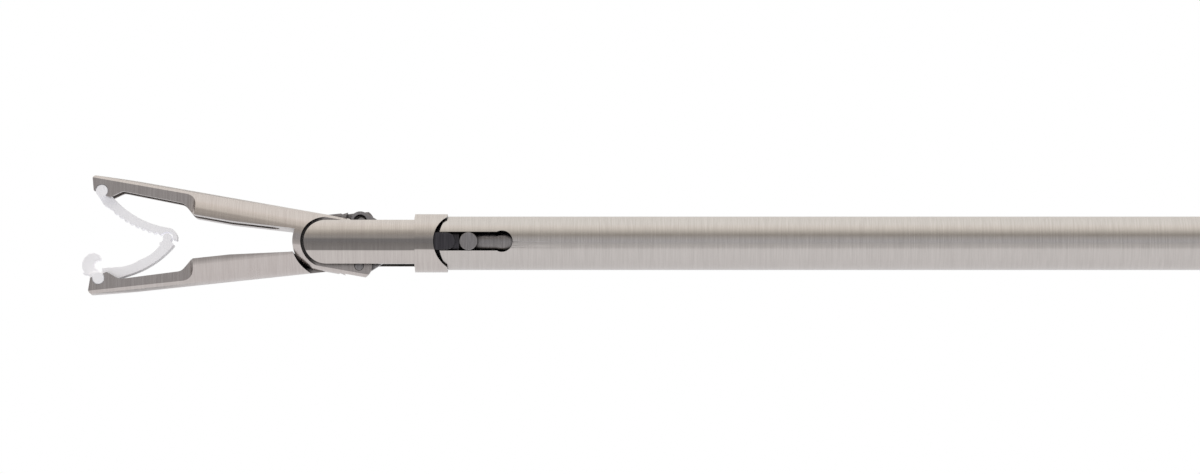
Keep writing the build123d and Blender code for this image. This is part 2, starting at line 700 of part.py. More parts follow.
top_front, top_rear = HOUSING_OUTLINE[0], HOUSING_OUTLINE[1]
top_slope = (top_rear[1] - top_front[1]) / (top_rear[0] - top_front[0])
PORT_SEAT = top_front[1] + top_slope * (FLUSH_X + PORT_COLLAR_RADIUS - top_front[0])
with BuildPart() as flush_port:
    with BuildSketch(Plane.XY.offset(BEARING_RADIUS)):
        with Locations((FLUSH_X, 0)):
            Circle(PORT_RADIUS)
    extrude(amount=PORT_TOP - BEARING_RADIUS)
    with BuildSketch(Plane.XY.offset(PORT_SEAT)):
        with Locations((FLUSH_X, 0)):
            RegularPolygon(PORT_COLLAR_RADIUS, 6)
    extrude(amount=PORT_COLLAR_HEIGHT)
    with BuildSketch(Plane.XY.offset(PORT_TOP - PORT_LUG_HEIGHT)):
        with Locations((FLUSH_X, 0)):
            SlotOverall(2 * PORT_LUG_RADIUS, PORT_RADIUS)
    extrude(amount=PORT_LUG_HEIGHT)
    with BuildSketch(Plane.XY.offset(PORT_TOP)):
        with Locations((FLUSH_X, 0)):
            Circle(PORT_BORE_RADIUS)
    extrude(amount=-PORT_BORE_DEPTH, mode=Mode.SUBTRACT)
    with BuildSketch(Plane.XY.offset(BEARING_RADIUS)):
        with Locations((FLUSH_X, 0)):
            Circle(FLUSH_HOLE_RADIUS)
    extrude(amount=PORT_TOP - BEARING_RADIUS, mode=Mode.SUBTRACT)
finish(flush_port, "flush_port")

# Outer form of the whole handle, which the two shells and the backstrap share
with BuildPart() as handle_form:
    with BuildSketch(Plane.XZ):
        with BuildLine():
            outline(HOUSING_OUTLINE)
        make_face()
    extrude(amount=HOUSING_HALF_WIDTH, both=True)
    fillet(handle_form.faces().filter_by(Axis.Y).edges(), radius=HOUSING_ROUND)

with BuildPart() as grip_backstrap:
    with BuildSketch(Plane.XZ):
        with BuildLine():
            outline(HOUSING_OUTLINE)
        make_face()
        with BuildLine():
            outline([(x - BACKSTRAP_THICKNESS, z, r) for x, z, r in HOUSING_OUTLINE])
        make_face(mode=Mode.SUBTRACT)
        with Locations((HOUSING_OUTLINE[2][0], (BACKSTRAP_TOP + BACKSTRAP_BOTTOM) / 2)):
            Rectangle(BACKSTRAP_REACH, BACKSTRAP_TOP - BACKSTRAP_BOTTOM, mode=Mode.INTERSECT)
    extrude(amount=HOUSING_HALF_WIDTH, both=True)
    add(handle_form.part, mode=Mode.INTERSECT)
finish(grip_backstrap, "grip_backstrap")

STOP_TOP, STOP_LOW = TRIGGER_OUTLINE[7], TRIGGER_OUTLINE[6]
stop_share = (STOP_PIN_Z - STOP_LOW[1]) / (STOP_TOP[1] - STOP_LOW[1])
stop_slope = hypot(STOP_TOP[0] - STOP_LOW[0], STOP_TOP[1] - STOP_LOW[1])
stop_offset = STOP_PIN_RADIUS + STOP_PIN_GAP
STOP_PIN_X = (
    STOP_LOW[0]
    + stop_share * (STOP_TOP[0] - STOP_LOW[0])
    - stop_offset * stop_slope / (STOP_TOP[1] - STOP_LOW[1])
)

skin = HOUSING_HALF_WIDTH - HOUSING_WALL
pivot_boss_face = TRIGGER_HALF_WIDTH + BUSHING_THICKNESS + 2 * RUNNING_FIT
for side, name in ((-1, "housing_left"), (1, "housing_right")):
    with BuildPart() as housing:
        add(handle_form.part)
        with BuildSketch(Plane.XZ):
            with Locations((TRIGGER_X, 0)):
                Rectangle(WORKING_LENGTH, WORKING_LENGTH)
        extrude(amount=-side * 2 * HOUSING_HALF_WIDTH, mode=Mode.INTERSECT)
        with BuildSketch(Plane.XZ):
            with BuildLine():
                outline(HOUSING_OUTLINE)
            make_face()
            offset(amount=-HOUSING_WALL)
        extrude(amount=-side * skin, mode=Mode.SUBTRACT)
        # Web behind the front wall that holds the bearing's tail
        with BuildSketch(station(BEARING_END - HOUSING_WALL)):
            Rectangle(2 * skin, 2 * HOUSING_OUTLINE[0][1] - HOUSING_WALL)
            with Locations((-side * skin, 0)):
                Rectangle(2 * skin, 4 * skin, mode=Mode.SUBTRACT)
        extrude(amount=HOUSING_WALL)
        with BuildSketch(Plane.XZ):
            with Locations(*SCREW_PLACES):
                Circle(SCREW_BOSS_RADIUS)
        extrude(amount=-side * skin)
        with BuildSketch(Plane.XZ):
            with Locations((STOP_PIN_X, STOP_PIN_Z)):
                Circle(STOP_BOSS_RADIUS)
        extrude(amount=-side * skin)
        with BuildSketch(Plane.XZ.offset(-side * (TRIGGER_HALF_WIDTH + TRIGGER_SLOT_GAP))):
            with Locations((STOP_PIN_X, STOP_PIN_Z)):
                Circle(2 * STOP_BOSS_RADIUS)
        extrude(amount=side * 2 * HOUSING_HALF_WIDTH, mode=Mode.SUBTRACT)
        with BuildSketch(Plane.XZ.offset(-side * pivot_boss_face)):
            with Locations((TRIGGER_X, ROD_ARM)):
                Circle(PIVOT_BOSS_RADIUS)
        extrude(amount=-side * (skin - pivot_boss_face))
        with BuildSketch(Plane.XZ):
            with Locations((TRIGGER_X, ROD_ARM)):
                Circle(TRIGGER_PIN_RADIUS)
        extrude(amount=-side * (pivot_boss_face + TRIGGER_PIN_SEAT), mode=Mode.SUBTRACT)
        with BuildSketch(Plane.XZ):
            with Locations((STOP_PIN_X, STOP_PIN_Z)):
                Circle(STOP_PIN_RADIUS)
        extrude(amount=-side * skin, mode=Mode.SUBTRACT)
        # Screws go in from the right and bite in the left shell
        with BuildSketch(Plane.XZ):
            with Locations(*SCREW_PLACES):
                Circle(SCREW_RADIUS)
        through = 2 * HOUSING_HALF_WIDTH if side > 0 else SCREW_BITE
        extrude(amount=-side * through, mode=Mode.SUBTRACT)
        if side > 0:
            with BuildSketch(Plane.XZ.offset(-HOUSING_HALF_WIDTH)):
                with Locations(*SCREW_PLACES):
                    Circle(SCREW_HEAD_RADIUS + RUNNING_FIT)
            extrude(amount=SCREW_HEAD_DEPTH, mode=Mode.SUBTRACT)
        # Openings for the bearing, the flush port and the trigger
        with BuildSketch(station(0)):
            Circle(BEARING_RADIUS)
        extrude(amount=BEARING_END, mode=Mode.SUBTRACT)
        with BuildSketch(Plane.XY):
            with Locations((FLUSH_X, 0)):
                Circle(PORT_RADIUS)
        extrude(amount=PORT_TOP, mode=Mode.SUBTRACT)
        with BuildSketch(Plane.XY.offset(-HOUSING_OUTLINE[0][1] - HOUSING_WALL)):
            with Locations(((TRIGGER_SLOT_FRONT + TRIGGER_SLOT_REAR) / 2, 0)):
                Rectangle(
                    TRIGGER_SLOT_REAR - TRIGGER_SLOT_FRONT,
                    2 * (TRIGGER_HALF_WIDTH + TRIGGER_SLOT_GAP),
                )
        extrude(amount=2.2 * HOUSING_WALL, mode=Mode.SUBTRACT)
        add(grip_backstrap.part, mode=Mode.SUBTRACT)
    finish(housing, name)

with BuildPart() as housing_screws:
    for x, z in SCREW_PLACES:
        with BuildSketch(Plane.XZ.offset(SCREW_BITE)):
            with Locations((x, z)):
                Circle(SCREW_RADIUS)
        extrude(amount=-(SCREW_BITE + HOUSING_HALF_WIDTH - SCREW_HEAD_DEPTH))
        with BuildSketch(Plane.XZ.offset(-(HOUSING_HALF_WIDTH - SCREW_HEAD_DEPTH))):
            with Locations((x, z)):
                Circle(SCREW_HEAD_RADIUS)
        extrude(amount=-(SCREW_HEAD_DEPTH - SCREW_RECESS))
        with BuildSketch(Plane.XZ.offset(-(HOUSING_HALF_WIDTH - SCREW_RECESS))):
            with Locations((x, z)):
                RegularPolygon(SCREW_RADIUS, 6)
        extrude(amount=SCREW_HEAD_DEPTH / 2, mode=Mode.SUBTRACT)
finish(housing_screws, "housing_screws")

with BuildPart() as trigger_stop_pin:
    with BuildSketch(Plane.XZ):
        with Locations((STOP_PIN_X, STOP_PIN_Z)):
            Circle(STOP_PIN_RADIUS)
    extrude(amount=HOUSING_HALF_WIDTH - HOUSING_WALL, both=True)
finish(trigger_stop_pin, "trigger_stop_pin")

with BuildPart() as trigger_pivot_pin:
    with BuildSketch(Plane.XZ):
        with Locations((TRIGGER_X, ROD_ARM)):
            Circle(TRIGGER_PIN_RADIUS)
    extrude(amount=pivot_boss_face + TRIGGER_PIN_SEAT, both=True)
finish(trigger_pivot_pin, "trigger_pivot_pin")

# Whole form of the trigger, which the lever and its soft pad share
with BuildPart() as trigger_form:
    with BuildSketch(Plane.XZ):
        with BuildLine():
            outline(TRIGGER_OUTLINE)
        make_face()
    extrude(amount=TRIGGER_HALF_WIDTH, both=True)
    fillet(trigger_form.faces().filter_by(Axis.Y).edges(), radius=TRIGGER_ROUND)
    with BuildSketch(Plane.XZ):
        with Locations((TRIGGER_X, ROD_ARM)):
            Circle(TRIGGER_HEAD_RADIUS)
    extrude(amount=TRIGGER_HALF_WIDTH, both=True)

with BuildPart() as trigger_pad:
    with BuildSketch(Plane.XZ):
        with BuildLine():
            outline(TRIGGER_OUTLINE)
        make_face()
        with BuildLine():
            outline([(x + PAD_THICKNESS, z, r) for x, z, r in TRIGGER_OUTLINE])
        make_face(mode=Mode.SUBTRACT)
        with Locations((TRIGGER_OUTLINE[5][0], (PAD_TOP + PAD_BOTTOM) / 2)):
            Rectangle(PAD_REACH, PAD_TOP - PAD_BOTTOM, mode=Mode.INTERSECT)
    extrude(amount=TRIGGER_HALF_WIDTH, both=True)
    add(trigger_form.part, mode=Mode.INTERSECT)
finish(trigger_pad, "trigger_pad")

with BuildPart() as trigger:
    add(trigger_form.part)
    add(trigger_pad.part, mode=Mode.SUBTRACT)
    with BuildSketch(Plane.XZ):
        with Locations((TRIGGER_X, ROD_ARM)):
            Circle(TRIGGER_PIN_RADIUS + RUNNING_FIT)
    extrude(amount=TRIGGER_HALF_WIDTH, both=True, mode=Mode.SUBTRACT)
    # Chamber for the rod's ball, open below, and in front the slot that the neck tips in
    with BuildSketch(Plane.XY.offset(BALL_RADIUS + BALL_GAP)):
        with Locations((BALL_X, 0)):
            Circle(BALL_RADIUS + BALL_GAP)
    extrude(amount=-3 * BALL_RADIUS, mode=Mode.SUBTRACT)
    neck_room = BALL_NECK_RADIUS + BALL_GAP + BALL_NECK_LENGTH * ROD_TRAVEL / ROD_ARM
    with BuildSketch(Plane.XY.offset(neck_room)):
        with Locations((BALL_X - TRIGGER_HEAD_RADIUS, 0)):
            Rectangle(2 * TRIGGER_HEAD_RADIUS, 2 * (BALL_NECK_RADIUS + BALL_GAP))
    extrude(amount=-3 * BALL_RADIUS, mode=Mode.SUBTRACT)
finish(trigger, "trigger")

with BuildPart() as trigger_bushings:
    for side in (1, -1):
        with BuildSketch(Plane.XZ.offset(side * (TRIGGER_HALF_WIDTH + RUNNING_FIT))):
            with Locations((TRIGGER_X, ROD_ARM)):
                Circle(BUSHING_RADIUS)
                Circle(TRIGGER_PIN_RADIUS + RUNNING_FIT, mode=Mode.SUBTRACT)
        extrude(amount=side * BUSHING_THICKNESS)
finish(trigger_bushings, "trigger_bushings")

with BuildPart() as return_spring:
    with BuildSketch(Plane.XZ):
        with BuildLine():
            FilletPolyline(*SPRING_PATH, radius=SPRING_BENDS)
        trace(line_width=SPRING_THICKNESS)
    extrude(amount=SPRING_HALF_WIDTH, both=True)
finish(return_spring, "return_spring")

# Clip: two polymer arms, drawn in the head's side view as they stand in the open jaws
CLIP_HINGE = (HINGE_FROM_TIP - JAW_REACH, HINGE_RISE)
upper_boss = on_jaw(1, UPPER_OPENING, NOTCH_U, NOTCH_V)
lower_boss = on_jaw(-1, LOWER_OPENING, NOTCH_U, NOTCH_V)
boss_radius = NOTCH_RADIUS - BOSS_GAP
cup_radius = KNUCKLE_RADIUS + KNUCKLE_GAP
bow_radius = cup_radius + BOW_THICKNESS


def beside(place, points):
    """The points of an outline that is given as offsets from a place."""
    return [(place[0] + x, place[1] + z, *rest) for x, z, *rest in points]


def round_hinge(radius, degrees_up):
    """Point of the head's side view on a circle about the clip's living hinge."""
    turn = radians(degrees_up)
    return (CLIP_HINGE[0] + radius * cos(turn), CLIP_HINGE[1] + radius * sin(turn))


with BuildPart() as clip_upper_arm:
    back_middle, back_end = beside(upper_boss, UPPER_ARM_BACK)
    arm_end = beside(upper_boss, UPPER_ARM_END)
    inner_middle = beside(upper_boss, [UPPER_ARM_INNER])[0]
    bow_end = round_hinge(bow_radius, BOW_END)
    bow_top = round_hinge(bow_radius, BOW_TOP)
    cup_end = round_hinge(cup_radius, BOW_END)
    cup_top = round_hinge(cup_radius, CUP_TOP)
    with BuildSketch(HEAD):
        with BuildLine():
            ThreePointArc(bow_end, round_hinge(bow_radius, (BOW_END + BOW_TOP) / 2), bow_top)
            ThreePointArc(bow_top, back_middle, back_end)
            Polyline(back_end, *arm_end)
            ThreePointArc(arm_end[-1], inner_middle, cup_top)
            ThreePointArc(cup_top, round_hinge(cup_radius, (BOW_END + CUP_TOP) / 2), cup_end)
            Line(cup_end, bow_end)
        make_face()
    extrude(amount=CLIP_HALF_WIDTH, both=True)
    # The hook of the other arm passes between the bosses
    hook_slot = HOOK_HALF_WIDTH + HOOK_GAP
    with BuildSketch(HEAD):
        with Locations((upper_boss[0] - HOOK_ROOM / 8, upper_boss[1] - HOOK_ROOM / 8)):
            Rectangle(HOOK_ROOM, HOOK_ROOM)
    extrude(amount=hook_slot, both=True, mode=Mode.SUBTRACT)
    for side in (1, -1):
        with BuildSketch(HEAD.offset(side * hook_slot)):
            with Locations(upper_boss):
                Circle(boss_radius)
        extrude(amount=side * (BOSS_HALF_WIDTH - hook_slot))
finish(clip_upper_arm, "clip_upper_arm")

with BuildPart() as clip_lower_arm:
    arm_root, back_middle, *inner = beside(
        CLIP_HINGE, [LOWER_ARM_ROOT, LOWER_ARM_BACK, *LOWER_ARM_INNER]
    )
    arm_end = beside(lower_boss, LOWER_ARM_END)
    knuckle_side = round_hinge(KNUCKLE_RADIUS, KNUCKLE_SIDE)
    with BuildSketch(HEAD):
        with BuildLine():
            Polyline(arm_root, CLIP_HINGE, knuckle_side)
            ThreePointArc(knuckle_side, *inner)
            Polyline(inner[-1], *arm_end)
            ThreePointArc(arm_end[-1], back_middle, arm_root)
        make_face()
        with Locations(CLIP_HINGE):
            Circle(KNUCKLE_RADIUS)
    extrude(amount=CLIP_HALF_WIDTH, both=True)
    with BuildSketch(HEAD):
        with BuildLine():
            outline(beside(lower_boss, HOOK_OUTLINE))
        make_face()
    extrude(amount=HOOK_HALF_WIDTH, both=True)
    with BuildSketch(HEAD):
        with Locations(lower_boss):
            Circle(boss_radius)
    extrude(amount=BOSS_HALF_WIDTH, both=True)
finish(clip_lower_arm, "clip_lower_arm")
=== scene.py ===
# %% [markdown]
# # Dressing a surgical clip applier
# A clip applier reaches through a 5 mm tube and closes a small polymer clip round a vessel.
# The CAD model holds its exact sizes and joints. This lesson gives each piece the finish of
# the real one: brushed stainless steel at the jaws, and moulded plastic at the handle.

# %% Load the CAD model as a fixed frame
import json
import math

import bmesh
import bpy
from mathutils import Matrix, Vector


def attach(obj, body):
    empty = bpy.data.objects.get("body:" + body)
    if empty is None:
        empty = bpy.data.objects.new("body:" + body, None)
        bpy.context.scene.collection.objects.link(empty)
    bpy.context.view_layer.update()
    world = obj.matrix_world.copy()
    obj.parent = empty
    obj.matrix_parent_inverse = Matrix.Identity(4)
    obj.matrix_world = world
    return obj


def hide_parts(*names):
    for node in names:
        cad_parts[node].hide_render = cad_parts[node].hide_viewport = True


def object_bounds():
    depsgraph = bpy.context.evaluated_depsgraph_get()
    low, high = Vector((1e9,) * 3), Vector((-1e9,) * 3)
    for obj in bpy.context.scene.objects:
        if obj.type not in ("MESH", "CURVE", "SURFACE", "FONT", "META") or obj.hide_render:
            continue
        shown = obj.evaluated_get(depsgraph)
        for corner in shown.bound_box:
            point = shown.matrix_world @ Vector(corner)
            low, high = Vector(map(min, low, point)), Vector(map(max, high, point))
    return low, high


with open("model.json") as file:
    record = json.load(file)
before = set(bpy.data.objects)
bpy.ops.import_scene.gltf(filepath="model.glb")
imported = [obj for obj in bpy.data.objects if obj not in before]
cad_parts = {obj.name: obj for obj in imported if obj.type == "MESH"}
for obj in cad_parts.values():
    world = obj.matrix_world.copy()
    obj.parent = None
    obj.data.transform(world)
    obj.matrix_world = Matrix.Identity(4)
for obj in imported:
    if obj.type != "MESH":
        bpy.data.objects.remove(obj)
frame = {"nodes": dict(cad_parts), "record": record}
cad_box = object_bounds()
MM = 0.001
print("pieces in the frame:", len(frame["nodes"]))

# %% [markdown]
# ## Camera
# The photograph looks at the jaws from the side and a little from below, through a long
# lens. Its scale is known from the tube, which is 5 mm wide. So the camera's place is
# worked out from the jaws' pivot: where it is in millimetres, and where it is in pixels.

# %% Set the camera where the photographer stood
PHOTO_WIDTH, PHOTO_HEIGHT = 1200, 474
PIXELS_PER_MM = 10.7
PIVOT = Vector((-307.4, 0, 0))
PIVOT_COLUMN, PIVOT_ROW = 326.8, 243.3
TILT = math.radians(-5)
LENS, SENSOR = 180, 36

back = Vector((0, -math.cos(TILT), math.sin(TILT)))
up = Vector((0, math.sin(TILT), math.cos(TILT)))
across = (PHOTO_WIDTH / 2 - PIVOT_COLUMN) / PIXELS_PER_MM
above = (PIVOT_ROW - PHOTO_HEIGHT / 2) / PIXELS_PER_MM
aim = (PIVOT + Vector((across, 0, 0)) + up * above) * MM
distance = PHOTO_WIDTH / PIXELS_PER_MM * MM * LENS / SENSOR

camera_data = bpy.data.cameras.new("camera")
camera_data.lens = LENS
camera_data.sensor_width = SENSOR
camera_data.clip_start = 0.01
camera = bpy.data.objects.new("camera", camera_data)
camera.location = aim + back * distance
camera.rotation_euler = (-back).to_track_quat("-Z", "Y").to_euler()
bpy.context.scene.collection.objects.link(camera)
bpy.context.scene.camera = camera
bpy.context.scene.view_settings.view_transform = "Standard"
print("camera stands", round(distance, 3), "m away")

# %% [markdown]
# ## Colours and nodes
# Colours are written as on a screen, in sRGB hex, and one function turns them into the
# linear light that Blender counts in. One small function adds a node and joins it up, and
# three more use it for the steps that come up again and again. The last makes a material.

# %% Helpers for every material
def linear(code):
    """A hex colour such as C0FFEE as linear red, green, blue and alpha."""
    shares = [int(code[i : i + 2], 16) / 255 for i in (0, 2, 4)]
    return [s / 12.92 if s <= 0.04045 else ((s + 0.055) / 1.055) ** 2.4 for s in shares] + [1]


def node(tree, kind, inputs=None, **settings):
    """Add a shader node. An input given as another node's socket is linked to it."""
    made = tree.nodes.new("ShaderNode" + kind)
    for name, value in settings.items():
        setattr(made, name, value)
    for name, value in (inputs or {}).items():
        if isinstance(value, bpy.types.NodeSocket):
            tree.links.new(value, made.inputs[name])
        else:
            made.inputs[name].default_value = value
    return made


def ranged(tree, value, low, high, to_low=0.0, to_high=1.0, **settings):
    """Stretch a value that runs from low to high over another range."""
    inputs = {
        "Value": value,
        "From Min": low,
        "From Max": high,
        "To Min": to_low,
        "To Max": to_high,
    }
    return node(tree, "MapRange", inputs, **settings).outputs["Result"]


def computed(tree, operation, first, second):
    """Two values added, multiplied or compared, as the operation says."""
    return node(tree, "Math", {0: first, 1: second}, operation=operation).outputs[0]


def mixed(tree, share, first, second, **settings):
    """A mix of two colours by a share. The node's colour sockets are 6 and 7."""
    inputs = {0: share, 6: first, 7: second}
    return node(tree, "Mix", inputs, data_type="RGBA", **settings).outputs[2]


def blank_material(name):
    """A new material and its node tree, which is empty."""
    material = bpy.data.materials.new(name)
    material.use_nodes = True
    material.node_tree.nodes.clear()
    return material, material.node_tree


# %% [markdown]
# ## Studio
# Polished metal shows its surroundings, so the studio is what shapes it. This one is a white
# room that is dimmer on the camera's side, as the space round a lens is. The tube mirrors
# that dim space as a dark line along its middle, warm light above it and cool light below.
# The camera itself sees plain white.

# %% Light the room with the world
# Each stop is the height of a look, from -1 straight down to 1 up, and the colour there.
SKY = [
    (-1.0, "E6E8ED"),
    (-0.14, "CBCBD0"),
    (0.09, "C7C8CC"),
    (0.31, "BFBEBE"),
    (0.52, "A5A19C"),
    (0.71, "CECBC5"),
    (0.87, "F0EDE7"),
    (0.97, "FFFBF7"),
    (1.0, "FFFFFD"),
]
BEHIND = [(-1.0, "E3E6EA"), (0.0, "DCDBDA"), (0.6, "F2EFEB"), (1.0, "FFFFFD")]
# How far to each side of straight up the room blends from its dim half to its bright half.
SIDE_BLEND = 0.35

world = bpy.data.worlds.new("white_room")
world.use_nodes = True
bpy.context.scene.world = world
room = world.node_tree
room.nodes.clear()


def sky_ramp(stops, height):
    """The room's colour by the height of the look."""
    ramp = node(room, "ValToRGB", {"Fac": ranged(room, height, -1.0, 1.0)})
    elements = ramp.color_ramp.elements
    while len(elements) < len(stops):
        elements.new(0.5)
    for element, (place, code) in zip(elements, stops):
        element.position = (place + 1) / 2
    for element, (place, code) in zip(elements, stops):
        element.color = linear(code)
    return ramp.outputs["Color"]


look = node(room, "TexCoord")
parts_of_look = node(room, "SeparateXYZ", {"Vector": look.outputs["Generated"]})
height = parts_of_look.outputs["Z"]
towards_camera = ranged(
    room,
    parts_of_look.outputs["Y"],
    SIDE_BLEND,
    -SIDE_BLEND,
    interpolation_type="SMOOTHSTEP",
)
lit_room = mixed(room, towards_camera, sky_ramp(BEHIND, height), sky_ramp(SKY, height))
light = node(room, "Background", {"Color": lit_room, "Strength": 1.0})
white = node(room, "Background", {"Color": linear("FFFFFF"), "Strength": 1.0})
ray = node(room, "LightPath")
choice = node(
    room,
    "MixShader",
    {0: ray.outputs["Is Camera Ray"], 1: light.outputs[0], 2: white.outputs[0]},
)
node(room, "OutputWorld", {"Surface": choice.outputs[0]})
print("room painted with", len(SKY), "tones on the camera's side")

# %% [markdown]
# One large soft lamp hangs above, as a photographer's softbox would. It is weak, because the
# room already lights the object at about the level at which colours look as they are written.
# Mirrored rays don't see it, so it leaves no hard white square in the steel.

# %% Hang a softbox
def softbox(name, place, target, size, watts, code):
    """A square lamp that faces a target."""
    data = bpy.data.lights.new(name, "AREA")
    data.size = size
    data.energy = watts
    data.color = linear(code)[:3]
    lamp = bpy.data.objects.new(name, data)
    lamp.location = place
    facing = Vector(target) - Vector(place)
    lamp.rotation_euler = facing.to_track_quat("-Z", "Y").to_euler()
    bpy.context.scene.collection.objects.link(lamp)
    return lamp


above_lamp = softbox(
    "softbox_above",
    place=(-0.1, -0.25, 0.9),
    target=(-0.12, 0, 0),
    size=0.9,
    watts=3.2,
    code="FFF9F2",
)
above_lamp.visible_glossy = False
print("softbox hangs at", above_lamp.location.z, "m")

# %% [markdown]
# The floor is a sheet of white card. It is matt, so it only takes a soft shadow. The camera
# sees it a little lifted, so that it fades into the white room. Steel mirrors it too, and the
# part that lies under the object has a painted glow for mirrored rays alone: a painted
# reflection of light, which no lamp casts.

# %% Lay the floor
FLOOR_SIZE = 4.0
FLOOR_GAP_MM = 0.2
CAMERA_LIFT = 0.38
NEAR_PAINTED_GLOW = 0.20
# The painted glow begins this far in front of the object and is full at the second distance.
PAINTED_GLOW_FROM, PAINTED_GLOW_TO = -0.26, -0.15

floor_mesh = bpy.data.meshes.new("studio_floor")
sheet = bmesh.new()
bmesh.ops.create_grid(sheet, x_segments=1, y_segments=1, size=FLOOR_SIZE / 2)
bmesh.ops.translate(sheet, verts=sheet.verts, vec=(0, 0, cad_box[0].z - FLOOR_GAP_MM * MM))
sheet.to_mesh(floor_mesh)
sheet.free()
studio_floor = bpy.data.objects.new("studio_floor", floor_mesh)
bpy.context.scene.collection.objects.link(studio_floor)

# White card gives the eye an even, cool white with no shine at all.
pale, paper = blank_material("pale_paper")
matt = node(paper, "BsdfDiffuse", {"Color": linear("CFD1D6")})
paper_ray = node(paper, "LightPath")
lift = computed(paper, "MULTIPLY", paper_ray.outputs["Is Camera Ray"], CAMERA_LIFT)
floor_place = node(paper, "TexCoord")
floor_xyz = node(paper, "SeparateXYZ", {"Vector": floor_place.outputs["Object"]})
near = ranged(
    paper,
    floor_xyz.outputs["Y"],
    PAINTED_GLOW_FROM,
    PAINTED_GLOW_TO,
    to_high=NEAR_PAINTED_GLOW,
    interpolation_type="SMOOTHSTEP",
)
# Painted glow: near the object the card shines for mirrored rays alone, a painted reflection
# of light.
mirrored = computed(paper, "MULTIPLY", paper_ray.outputs["Is Glossy Ray"], near)
glow = node(
    paper,
    "Emission",
    {"Color": linear("F6F8FF"), "Strength": computed(paper, "ADD", lift, mirrored)},
)
both = node(paper, "AddShader", {0: matt.outputs[0], 1: glow.outputs[0]})
node(paper, "OutputMaterial", {"Surface": both.outputs[0]})
floor_mesh.materials.append(pale)
print("floor lies at", round(cad_box[0].z * 1000, 1), "mm")

# %% [markdown]
# ## Stainless steel
# The jaws, yoke and tube are stainless steel, turned on a lathe and then brushed round with
# fine abrasive. That leaves rings of hair-fine scratches, which the eye sees as satin with
# faint lines across the shaft. The scratches are a noise that is squeezed along the shaft
# and stretched round it. Real ones are 10 to 20 microns wide, and are drawn at 60 to 100.

# %% The scratches, as a stretched noise
# All in widths of one scratch: its length, and the size of the slow clouds of polish.
SCRATCH_STRETCH = 40
CLOUD_LENGTH, CLOUD_WIDTH = 12, 60


def stretched_noise(tree, place, scale, **look):
    """A noise with its own scale along each axis, in grains per metre."""
    squeezed = node(tree, "Mapping", {"Vector": place.outputs["Object"], "Scale": scale})
    inputs = {"Vector": squeezed.outputs[0], "Scale": 1.0, **look}
    return node(tree, "TexNoise", inputs).outputs["Fac"]


# %% [markdown]
# Two painted marks darken the steel. Painted shade darkens the crevices, which real steel
# shows because polishing misses them and their walls mirror each other: whatever has
# something else within 0.7 mm of it is darker. And the sides of the head mirror the dark
# lens, while the top and the underside mirror the bright room. A painted band of dark
# reflection along each side stands for that: it is darkest where the surface faces level,
# fades out quickly above, and ends in a sharp line below.

# %% Painted shade in the crevices and a painted reflection band along the sides
# Painted shade in crevices: how far the test looks, and how dark the painted shade gets.
CREVICE_MM = 0.7
CREVICE_CLOSED, CREVICE_OPEN, CREVICE_DARKEST = 0.35, 0.8, 0.05
# Upward part of the surface's direction, where the painted reflection band is full and where
# it has gone.
BAND_TOP, BAND_BOTTOM = (0.02, 0.24), (-0.27, -0.31)
BAND_STREAKS = 0.2


def painted_crevice_shade(tree):
    """Painted shade: 1 on open surfaces, and nearly 0 deep in a crevice."""
    crevice = node(
        tree, "AmbientOcclusion", {"Distance": CREVICE_MM * MM}, samples=6, only_local=False
    )
    return ranged(
        tree, crevice.outputs["AO"], CREVICE_CLOSED, CREVICE_OPEN, CREVICE_DARKEST
    )


def painted_side_band(tree, place, scratches, band):
    """Painted reflection: 1 on the top and the underside, and about band along the sides, with
    streaks.

    The sockets 2 and 3 of the Mix node are its two numbers."""
    normal = node(tree, "SeparateXYZ", {"Vector": place.outputs["Normal"]})
    streaks = ranged(
        tree, scratches, 0.0, 1.0, band * (1 - BAND_STREAKS), band * (1 + BAND_STREAKS)
    )
    over, under = (
        ranged(tree, normal.outputs["Z"], inner, outer, interpolation_type="SMOOTHSTEP")
        for inner, outer in (BAND_TOP, BAND_BOTTOM)
    )
    outside = computed(tree, "MAXIMUM", over, under)
    return node(tree, "Mix", {0: outside, 2: streaks, 3: 1.0}, data_type="FLOAT").outputs[0]


# %% [markdown]
# One recipe makes all the steels. The scratches give two close tones of grey and a shallow
# relief. Slow clouds change the polish a little from place to place, since no hand brushes
# evenly. The steels differ in their tones, their polish and the width of their scratches.

# %% Brushed steel, for parts that were turned and brushed
SCRATCH_DARK, SCRATCH_BRIGHT = 0.35, 0.65
CLOUD_LOW, CLOUD_HIGH = 0.3, 0.7
POLISH_CHANGE = 0.04


